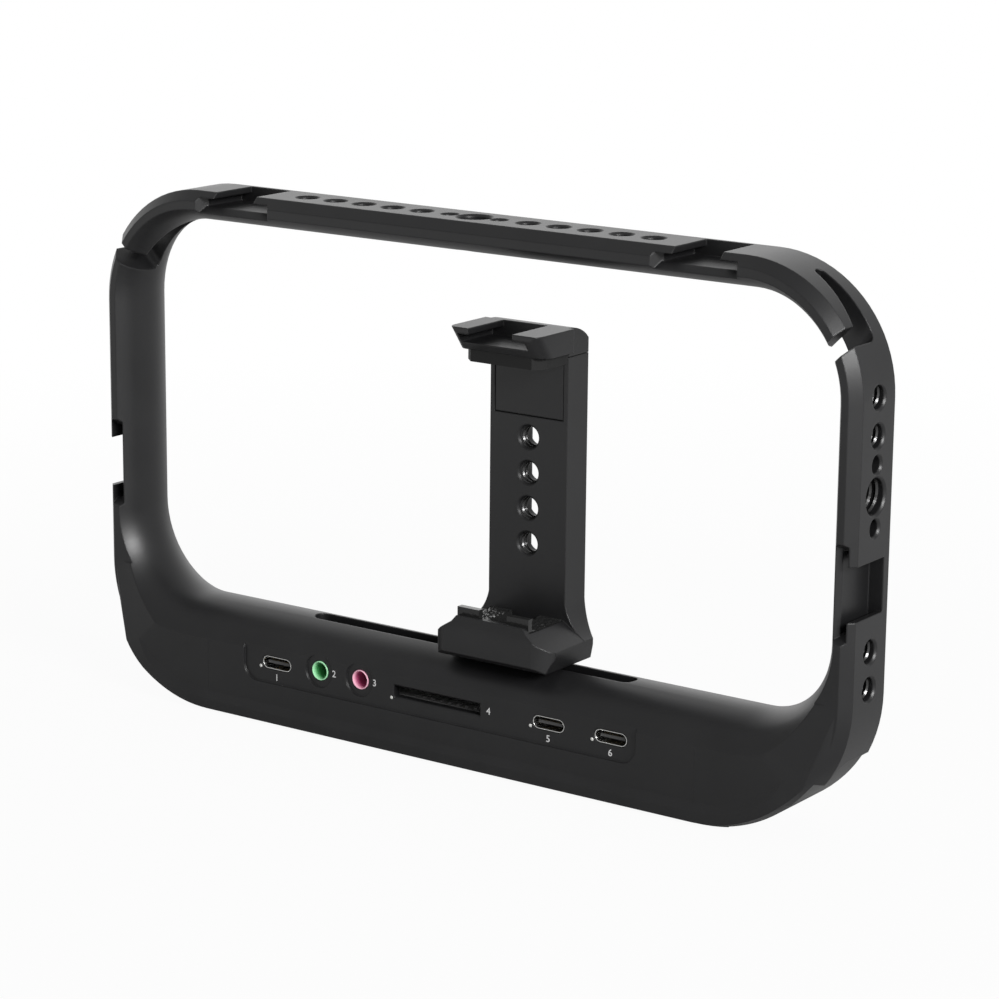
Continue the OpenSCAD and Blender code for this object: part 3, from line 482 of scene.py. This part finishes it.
def bores_of(mount):
    centre = Vector(mount["pos_m"])
    axis = Vector(mount["axis"])
    dims = mount["dims"]
    if mount["kind"] == "threaded_hole":
        return [(mouth_of(centre, axis), -axis, dims["r_mm"] * MM)]
    along = Vector((1, 0, 0)) if "spacing_x_mm" in dims else Vector((0, 0, 1))
    half = dims.get("spacing_x_mm", dims.get("spacing_y_mm")) / 2 * MM
    radius = dims["hole_r_mm"] * MM
    return [(mouth_of(centre + sign * half * along, axis), -axis, radius) for sign in (-1, 1)]


bored = [mount for mount in record["mounts"] if mount["kind"] in ("threaded_hole", "bolt_pattern")]
print("mounts with bores:", len(bored))

# %% Threads of all tapped holes
INCH = 25.4 * MM
QUARTER_PITCH = INCH / 20
THREE_EIGHTH_PITCH = INCH / 16
LARGE_BORE = 3.5 * MM
LOCATING_BORE = 2.0 * MM
THREAD_LENGTH = {"top": 6.6 * MM, "left": 5.2 * MM, "right": 5.2 * MM, "web": 4.2 * MM, "tripod": 5.4 * MM}
MOUTH_GAP = 0.75 * MM

threads = {}
for mount in bored:
    group = mount["name"].split("_")[0]
    for mouth, inward, radius in bores_of(mount):
        if radius < LOCATING_BORE:
            continue
        pitch = THREE_EIGHTH_PITCH if radius > LARGE_BORE else QUARTER_PITCH
        start = mouth + (MOUTH_GAP + ROOT_HALF * pitch) * inward
        length = THREAD_LENGTH[group] - MOUTH_GAP - 2 * ROOT_HALF * pitch
        thread_ridge(threads.setdefault(group, bmesh.new()), start, inward, radius, length, pitch)
for group, form in threads.items():
    name = group + "_threads"
    body = "clamp" if group == "web" else "frame"
    add_piece(name, closed_mesh(form, name), body, thread_metal)
print("thread groups:", sorted(threads))

# %% [markdown]
# ## The jaws' rubber
# The phone is held between two rubber pads. The upper one is plain. The lower one is an L: a floor on the jaw
# and a wall behind its lip, with a gap for the slide screw. It is moulded with small glossy pips, which
# glitter in the photograph. A Displace modifier could raise them, but each point of a swept grid is sunk by
# its own seeded random depth here, so that the flat sides of the pad stay flat.

# %% A bar with pips, swept along the jaw
PIP_PITCH = 0.5 * MM
PIP_RISE = 0.45 * MM
PIP_SEED = 5
pips = random.Random(PIP_SEED)


def sampled(section, sinks):
    points = []
    for start, end, sink in zip(section, section[1:], sinks):
        length = (Vector(end) - Vector(start)).length
        steps = max(1, round(length / PIP_PITCH)) if sink else 1
        for step in range(steps):
            spot = Vector(start).lerp(Vector(end), step / steps)
            points.append((spot, Vector(sink) if sink and step > 0 else None))
    points.append((Vector(section[-1]), None))
    return points


def pip_bar(form, x_from, x_to, section, sinks):
    points = sampled(section, sinks)
    rows = 2 * max(1, round((x_to - x_from) / PIP_PITCH / 2))
    rings = []
    for row in range(rows + 1):
        x = x_from + (x_to - x_from) * row / rows
        ring = []
        for spot, sink in points:
            sunk = Vector((0, 0)) if sink is None else pips.random() * sink
            ring.append(form.verts.new((x, spot.x - sunk.x * PIP_RISE, spot.y - sunk.y * PIP_RISE)))
        rings.append(ring)
    join_rings(form, rings)
    cap_ends(form, rings)


# %% Lower pad
PAD_FLOOR = 4.7 * MM
PAD_WALL = 1.7 * MM
SCREW_GAP = 4.0 * MM
DOWN = (0, 1)
FORWARD = (1, 0)

low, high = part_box("lower_pad")
middle = (low.x + high.x) / 2
floor_top = low.z + PAD_FLOOR
wall_back = low.y + PAD_WALL
l_section = [
    (low.y, high.z), (low.y, low.z), (high.y, low.z),
    (high.y, floor_top), (wall_back, floor_top), (wall_back, high.z)]
l_sinks = [None, None, None, DOWN, FORWARD]
bridge = [(low.y, floor_top), (low.y, low.z), (-SCREW_GAP, low.z), (-SCREW_GAP, floor_top)]
bridge_sinks = [None, None, None]
form = bmesh.new()
pip_bar(form, low.x, middle - SCREW_GAP, l_section, l_sinks)
pip_bar(form, middle - SCREW_GAP, middle + SCREW_GAP, bridge, bridge_sinks)
pip_bar(form, middle + SCREW_GAP, high.x, l_section, l_sinks)
pad_mesh = closed_mesh(form, "lower_pad_toothed")
pad = add_piece("lower_pad_toothed", pad_mesh, body_of["lower_pad"], pad_rubber)
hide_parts("lower_pad")
print("lower pad", [round(c / MM, 1) for c in high - low])

# %% [markdown]
# ## The jacks' coloured collars
# A collar is a small ring whose mouth is countersunk, so that a plug finds its way in. A Screw modifier could
# spin its profile. A loop does it here, because the ring then lies exactly on the CAD ring that it stands
# for. The thin rim is pale, and painted shade darkens the colour down the sleeve behind it.

# %% Plastic with painted shade that darkens from the rim inwards
COLLAR_DEPTH = 1.3 * MM
COLLAR_ROUGHNESS = 0.25
COLLAR_STRENGTH = 0.2
COLLAR_GRAIN = 0.01 * MM
PAINTED_SHADE_RAMP = (0.08, 1.0)
PAINTED_SHADE_GRAIN = 0.1


def collar_plastic(name, pale, shaded_colour, front):
    finish = Finish(name, pale, COLLAR_ROUGHNESS, constants={"IOR": GLASSY_IOR})
    grain = finish.noise(PLASTIC_GRAIN, 3.0)
    # painted shade: the colour darkens with depth into the bore
    depth = finish.along(finish.place(), "Y") - front
    painted_shade = finish.ramp(depth / COLLAR_DEPTH + PAINTED_SHADE_GRAIN * grain, *PAINTED_SHADE_RAMP)
    finish.set("Base Color", finish.between(painted_shade, pale, shaded_colour))
    finish.set("Roughness", COLLAR_ROUGHNESS - GRAIN_SWING / 2 + GRAIN_SWING * grain)
    finish.roughen(grain, COLLAR_STRENGTH, COLLAR_GRAIN)
    return finish.material


# %% A ring turned about the port's axis
COLLAR_STEPS = 64


def circle(form, centre, radius, y, steps):
    return [form.verts.new((
        centre.x + radius * math.cos(2 * math.pi * i / steps),
        y,
        centre.z + radius * math.sin(2 * math.pi * i / steps),
    )) for i in range(steps)]


def turned_ring(form, centre, profile):
    rings = [circle(form, centre, radius, y, COLLAR_STEPS) for radius, y in profile]
    join_rings(form, rings + rings[:1])


# %% Countersunk collars
COLLAR_RIM = 0.14 * MM
RIM_ROUND = 0.3
COLLAR_BORE = 1.76 * MM
SLEEVE_LENGTH = 7.0 * MM
SLEEVE_WALL = 0.03 * MM

# each collar's second colour is the painted shade deep in its bore
for node, pale, shaded_colour in (
        ("headphone_collar", (0.42, 0.85, 0.5), (0.07, 0.34, 0.11)),
        ("microphone_collar", (0.92, 0.5, 0.62), (0.45, 0.08, 0.19))):
    low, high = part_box(node)
    outer = (high.x - low.x) / 2
    rim_y = low.y + RIM_ROUND * COLLAR_RIM
    form = bmesh.new()
    turned_ring(form, (low + high) / 2, [
        (outer, high.y),
        (outer, low.y + COLLAR_RIM),
        (outer - RIM_ROUND * COLLAR_RIM, rim_y),
        (outer - COLLAR_RIM, low.y),
        (outer - (2 - RIM_ROUND) * COLLAR_RIM, rim_y),
        (COLLAR_BORE, low.y + COLLAR_DEPTH),
        (COLLAR_BORE, low.y + SLEEVE_LENGTH),
        (COLLAR_BORE + SLEEVE_WALL, low.y + SLEEVE_LENGTH),
        (COLLAR_BORE + SLEEVE_WALL, high.y),
    ])
    bmesh.ops.recalc_face_normals(form, faces=form.faces)
    shade_smooth(form, 2 * SHARP_EDGE)
    name = node + "_countersunk"
    finish = collar_plastic(node + "_plastic", pale, shaded_colour, low.y)
    ring = add_piece(name, mesh_from(form, name), "frame", finish)
    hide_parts(node)
print("collar outside", round(2 * outer / MM, 2), "bore", round(2 * COLLAR_BORE / MM, 2))

# %% [markdown]
# ## Contacts in the ports
# The tongue in each oval port has a row of gilt contacts on both faces, and the card slot has nine gilt
# springs over a ribbed floor. They could be one Array modifier each. Short loops are used here, because every
# strip is the same six-sided bar and only its place and size change.

# %% Contacts on the port tongues
CONTACTS = 10
CONTACT_WIDTH = 0.26 * MM
CONTACT_PITCH = 0.56 * MM
CONTACT_LENGTH = 3.2 * MM
CONTACT_SETBACK = 0.3 * MM
CONTACT_RISE = 0.03 * MM
TONGUE_HALF = 0.35 * MM
STRIP_OUTLINE = ((-0.5, 0), (0.5, 0), (0.5, 1), (-0.5, 1))
STRIP_FACES = ((0, 1, 2, 3), (4, 5, 6, 7), (0, 1, 5, 4), (1, 2, 6, 5), (2, 3, 7, 6), (3, 0, 4, 7))


def contact_strip(form, start, width, length, rise):
    corners = []
    for lift in (0.0, rise):
        for x, y in STRIP_OUTLINE:
            corners.append(form.verts.new(start + Vector((x * width, y * length, lift))))
    for quad in STRIP_FACES:
        form.faces.new([corners[i] for i in quad])


for side in PORT_SIDES:
    low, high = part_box("usb_tongue_" + side)
    nose = Vector(((low.x + high.x) / 2, low.y + CONTACT_SETBACK, (low.z + high.z) / 2))
    form = bmesh.new()
    for i in range(CONTACTS):
        x = (i - (CONTACTS - 1) / 2) * CONTACT_PITCH
        for sign in (-1, 1):
            start = nose + Vector((x, 0, sign * TONGUE_HALF))
            contact_strip(form, start, CONTACT_WIDTH, CONTACT_LENGTH, sign * CONTACT_RISE)
    name = "usb_contacts_" + side
    add_piece(name, closed_mesh(form, name), "frame", gilding)
print("contacts on", len(PORT_SIDES), "tongues")

# %% Springs in the card slot
SPRINGS = 9
SPRING_WIDTH = 0.9 * MM
SPRING_LENGTH = 3.6 * MM
SPRING_BASE = 0.25 * MM
CARD_PLAY = 0.2 * MM
CARD_PITCHES = 10.2

low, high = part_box("card_contacts")
card_middle = (low.x + high.x) / 2
spring_pitch = (high.x - low.x + CARD_PLAY) / CARD_PITCHES
form = bmesh.new()
for i in range(SPRINGS):
    x = card_middle + (i - (SPRINGS - 1) / 2) * spring_pitch
    start = Vector((x, low.y, low.z + SPRING_BASE))
    contact_strip(form, start, SPRING_WIDTH, SPRING_LENGTH, CONTACT_RISE)
add_piece("card_springs", closed_mesh(form, "card_springs"), "frame", gilding)
print("card springs:", SPRINGS)

# %% Ribbed floor of the card slot
SOCKET_WALL = 0.35 * MM
GUIDE_SETBACK = 0.1 * MM
GUIDE_BACK = 8.2 * MM
GUIDE_THICK = 0.08 * MM
RIB_RISE = 0.22 * MM
RIB_START = 1.2 * MM

card_low, card_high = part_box("card_socket")
guide_width = card_high.x - card_low.x - 2 * SOCKET_WALL - CARD_PLAY
guide_start = Vector((card_middle, card_low.y + GUIDE_SETBACK, card_low.z))
form = bmesh.new()
contact_strip(form, guide_start, guide_width, GUIDE_BACK, GUIDE_THICK)
for i in range(SPRINGS - 1):
    x = (i - (SPRINGS - 2) / 2) * spring_pitch
    rib_start = guide_start + Vector((x, RIB_START, GUIDE_THICK))
    contact_strip(form, rib_start, SPRING_WIDTH, GUIDE_BACK - RIB_START, RIB_RISE)
add_piece("card_guide", closed_mesh(form, "card_guide"), "frame", grey_plastic)
print("card guide width", round(guide_width / MM, 1))

# %% [markdown]
# ## Print and painted glints on the panel
# Beside each port the panel is printed in white: plain numbers here, in the order of the ports. Blender's own
# text objects give clean figures, and they are turned into meshes so that they can be exported like the other
# pieces. Low pale domes, built ring by ring, stand where the ports' edges catch glints: their pale colour is
# a painted highlight, and they are domes because a flat disc would not catch the light.

# %% One printed number
FIGURE_HEIGHT = 1.7 * MM
FIGURE_SHARE = 0.72
INK = 0.02 * MM
STROKE = 0.02 * MM
PANEL_FRONT = -12.5 * MM


def printed_number(name, text, x, z):
    curve = bpy.data.curves.new(name, "FONT")
    curve.body = text
    curve.size = FIGURE_HEIGHT / FIGURE_SHARE
    curve.align_x = "CENTER"
    curve.align_y = "CENTER"
    curve.extrude = INK
    curve.offset = STROKE
    sketch = bpy.data.objects.new(name + "_sketch", curve)
    scene.collection.objects.link(sketch)
    bpy.context.view_layer.update()
    solid = sketch.evaluated_get(bpy.context.evaluated_depsgraph_get())
    mesh = bpy.data.meshes.new_from_object(solid)
    bpy.data.objects.remove(sketch)
    mesh.name = name
    mesh.transform(Matrix.Translation((x, PANEL_FRONT, z)) @ Matrix.Rotation(math.pi / 2, 4, "X"))
    mesh.materials.clear()
    add_piece(name, mesh, "frame", white_ink)


# %% Numbers beside the ports
BELOW_PORT = 3.6 * MM
BESIDE_JACK = 4.6 * MM
BESIDE_CARD = 2.0 * MM


def middle_of(node):
    low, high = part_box(node)
    return (low + high) / 2


card_half = (card_high.x - card_low.x) / 2
number_places = (
    ("usb_shell_left", 0, -BELOW_PORT),
    ("headphone_collar", BESIDE_JACK, 0),
    ("microphone_collar", BESIDE_JACK, 0),
    ("card_socket", card_half + BESIDE_CARD, 0),
    ("usb_shell_middle", 0, -BELOW_PORT),
    ("usb_shell_right", 0, -BELOW_PORT),
)
for number, (node, aside, upward) in enumerate(number_places, 1):
    spot = middle_of(node)
    printed_number("printed_number_%d" % number, str(number), spot.x + aside, spot.z + upward)
print("printed numbers:", len(number_places))

# %% Pale domes beside the ports: painted glints
GLINT_DOME_RADIUS = 0.42 * MM
GLINT_DOME_RISE = 0.16 * MM
GLINT_DOME_STEPS = 16
GLINT_DOME_LEVELS = (0.0, 0.5, 0.85)
GLINT_LEFT = 5.05 * MM
GLINT_BELOW = 1.25 * MM
CARD_GLINT_GAP = 0.3 * MM


def lens_dome(form, x, z):
    rings = []
    for level in GLINT_DOME_LEVELS:
        radius = GLINT_DOME_RADIUS * math.sqrt(1 - level * level)
        rings.append(circle(form, Vector((x, 0, z)), radius, PANEL_FRONT - GLINT_DOME_RISE * level, GLINT_DOME_STEPS))
    join_rings(form, rings)
    cap_ends(form, rings)


# pale domes whose colour is a painted highlight where the ports' edges glint
form = bmesh.new()
for side in PORT_SIDES:
    spot = middle_of("usb_shell_" + side)
    lens_dome(form, spot.x - GLINT_LEFT, spot.z - GLINT_BELOW)
lens_dome(form, card_low.x - CARD_GLINT_GAP, card_low.z - CARD_GLINT_GAP)
add_piece("painted_glint_domes", closed_mesh(form, "painted_glint_domes"), "frame", painted_glint_white)
print("status lights:", len(PORT_SIDES) + 1)

# %% [markdown]
# ## Floor, world and lamp
# The photograph has a white background. The world is bright low behind the object, most of all on the left,
# and grey in front and above, as in a studio where only the backdrop is lit. So the shallow faces shine and
# the front stays dark. The camera always sees white. The floor is a pale disc that keeps a faint shadow near
# the object and fades into the white further out. One soft box on the right draws the glints. A sky texture
# could light the scene too, but a few ramps over the direction are easier to match to the photograph.

# %% Finish of the pale floor
FLOOR_GREY = (0.5, 0.5, 0.5)
FLOOR_ROUGHNESS = 0.8
SHADOW_RADIUS = 0.5
SHADOW_FADE = (0.35, 1.0)
LEFT_FROM = 0.5
LEFT_RAMP = (0.1, 0.9)
NEAR_WHITE = 0.95
MIRRORED_RIGHT = 0.2
MIRRORED_LEFT_EXTRA = 0.7


def towards_left(tree, vector):
    return tree.ramp(LEFT_FROM - tree.along(vector, "X"), *LEFT_RAMP)


floor_finish = Finish("pale_floor", FLOOR_GREY, FLOOR_ROUGHNESS)
direct = floor_finish.node("LightPath", output="Is Camera Ray")
mirrored = floor_finish.node("LightPath", output="Is Glossy Ray")
mirrored = mirrored + floor_finish.node("LightPath", output="Is Transmission Ray")
reach = floor_finish.node("VectorMath", {"operation": "LENGTH"}, {0: floor_finish.place()}, output="Value")
far = floor_finish.ramp(reach / SHADOW_RADIUS, *SHADOW_FADE)
floor_left = towards_left(floor_finish, floor_finish.place())
white = direct * (NEAR_WHITE + (1 - NEAR_WHITE) * far)
white = white + mirrored * far * (MIRRORED_RIGHT + MIRRORED_LEFT_EXTRA * floor_left)
share = floor_finish.node("Math", {"operation": "MINIMUM"}, {0: white, 1: 1.0})
glow = floor_finish.node("Emission", inputs={"Color": (1, 1, 1, 1), "Strength": 1.0})
lit = Signal(floor_finish, floor_finish.surface.outputs[0])
mixed = floor_finish.node("MixShader", inputs={0: share, 1: lit, 2: glow})
floor_finish.feed(floor_finish.tree.nodes["Material Output"].inputs["Surface"], mixed)
print("floor finish:", floor_finish.material.name)

# %% Floor disc
FLOOR_RADIUS = 6.0
FLOOR_GAP = 0.05 * MM
FLOOR_STEPS = 96

form = bmesh.new()
bmesh.ops.create_circle(form, cap_ends=True, segments=FLOOR_STEPS, radius=FLOOR_RADIUS)
floor = bpy.data.objects.new("floor", mesh_from(form, "floor"))
floor.data.materials.append(floor_finish.material)
floor.location.z = ring_low.z - FLOOR_GAP
scene.collection.objects.link(floor)
print("floor radius", FLOOR_RADIUS)

# %% World: lit backdrop low behind, darker room in front and above
BACKDROP = 1.35
ROOM = 0.4
RIGHT_SHARE = 0.1
BEHIND_RAMP = (0.0, 0.45)
ABOVE_RAMP = (0.4, 0.95)

world = bpy.data.worlds.new("studio")
scene.world = world
world.use_nodes = True
sky = NodeTree(world.node_tree)
direction = sky.node("TexCoord", output="Generated")
behind = sky.ramp(sky.along(direction, "Y"), *BEHIND_RAMP)
above = sky.ramp(sky.along(direction, "Z"), *ABOVE_RAMP)
sky_left = towards_left(sky, direction)
lit_part = (BACKDROP - ROOM) * behind * (1 - above) * (RIGHT_SHARE + (1 - RIGHT_SHARE) * sky_left)
seen = sky.node("LightPath", output="Is Camera Ray") + sky.node("LightPath", output="Is Transmission Ray")
strength = sky.node("Math", {"operation": "MAXIMUM"}, {0: seen, 1: ROOM + lit_part})
backdrop = world.node_tree.nodes["Background"]
backdrop.inputs["Color"].default_value = (1, 1, 1, 1)
sky.feed(backdrop.inputs["Strength"], strength)
print("world: backdrop", BACKDROP, "room", ROOM)

# %% One soft box on the right
BOX_AZIMUTH = math.radians(70)
BOX_ELEVATION = math.radians(25)
BOX_DISTANCE = 1.6
BOX_WIDTH = 0.65
BOX_HEIGHT = 0.4
BOX_POWER = 26

soft_box = bpy.data.objects.new("soft_box", bpy.data.lights.new("soft_box", "AREA"))
soft_box.data.shape = "RECTANGLE"
soft_box.data.size = BOX_WIDTH
soft_box.data.size_y = BOX_HEIGHT
soft_box.data.energy = BOX_POWER
away = heading(BOX_AZIMUTH, BOX_ELEVATION)
soft_box.location = aim + BOX_DISTANCE * away
soft_box.rotation_euler = away.to_track_quat("Z", "Y").to_euler()
scene.collection.objects.link(soft_box)
print("soft box at", [round(c, 2) for c in soft_box.location])
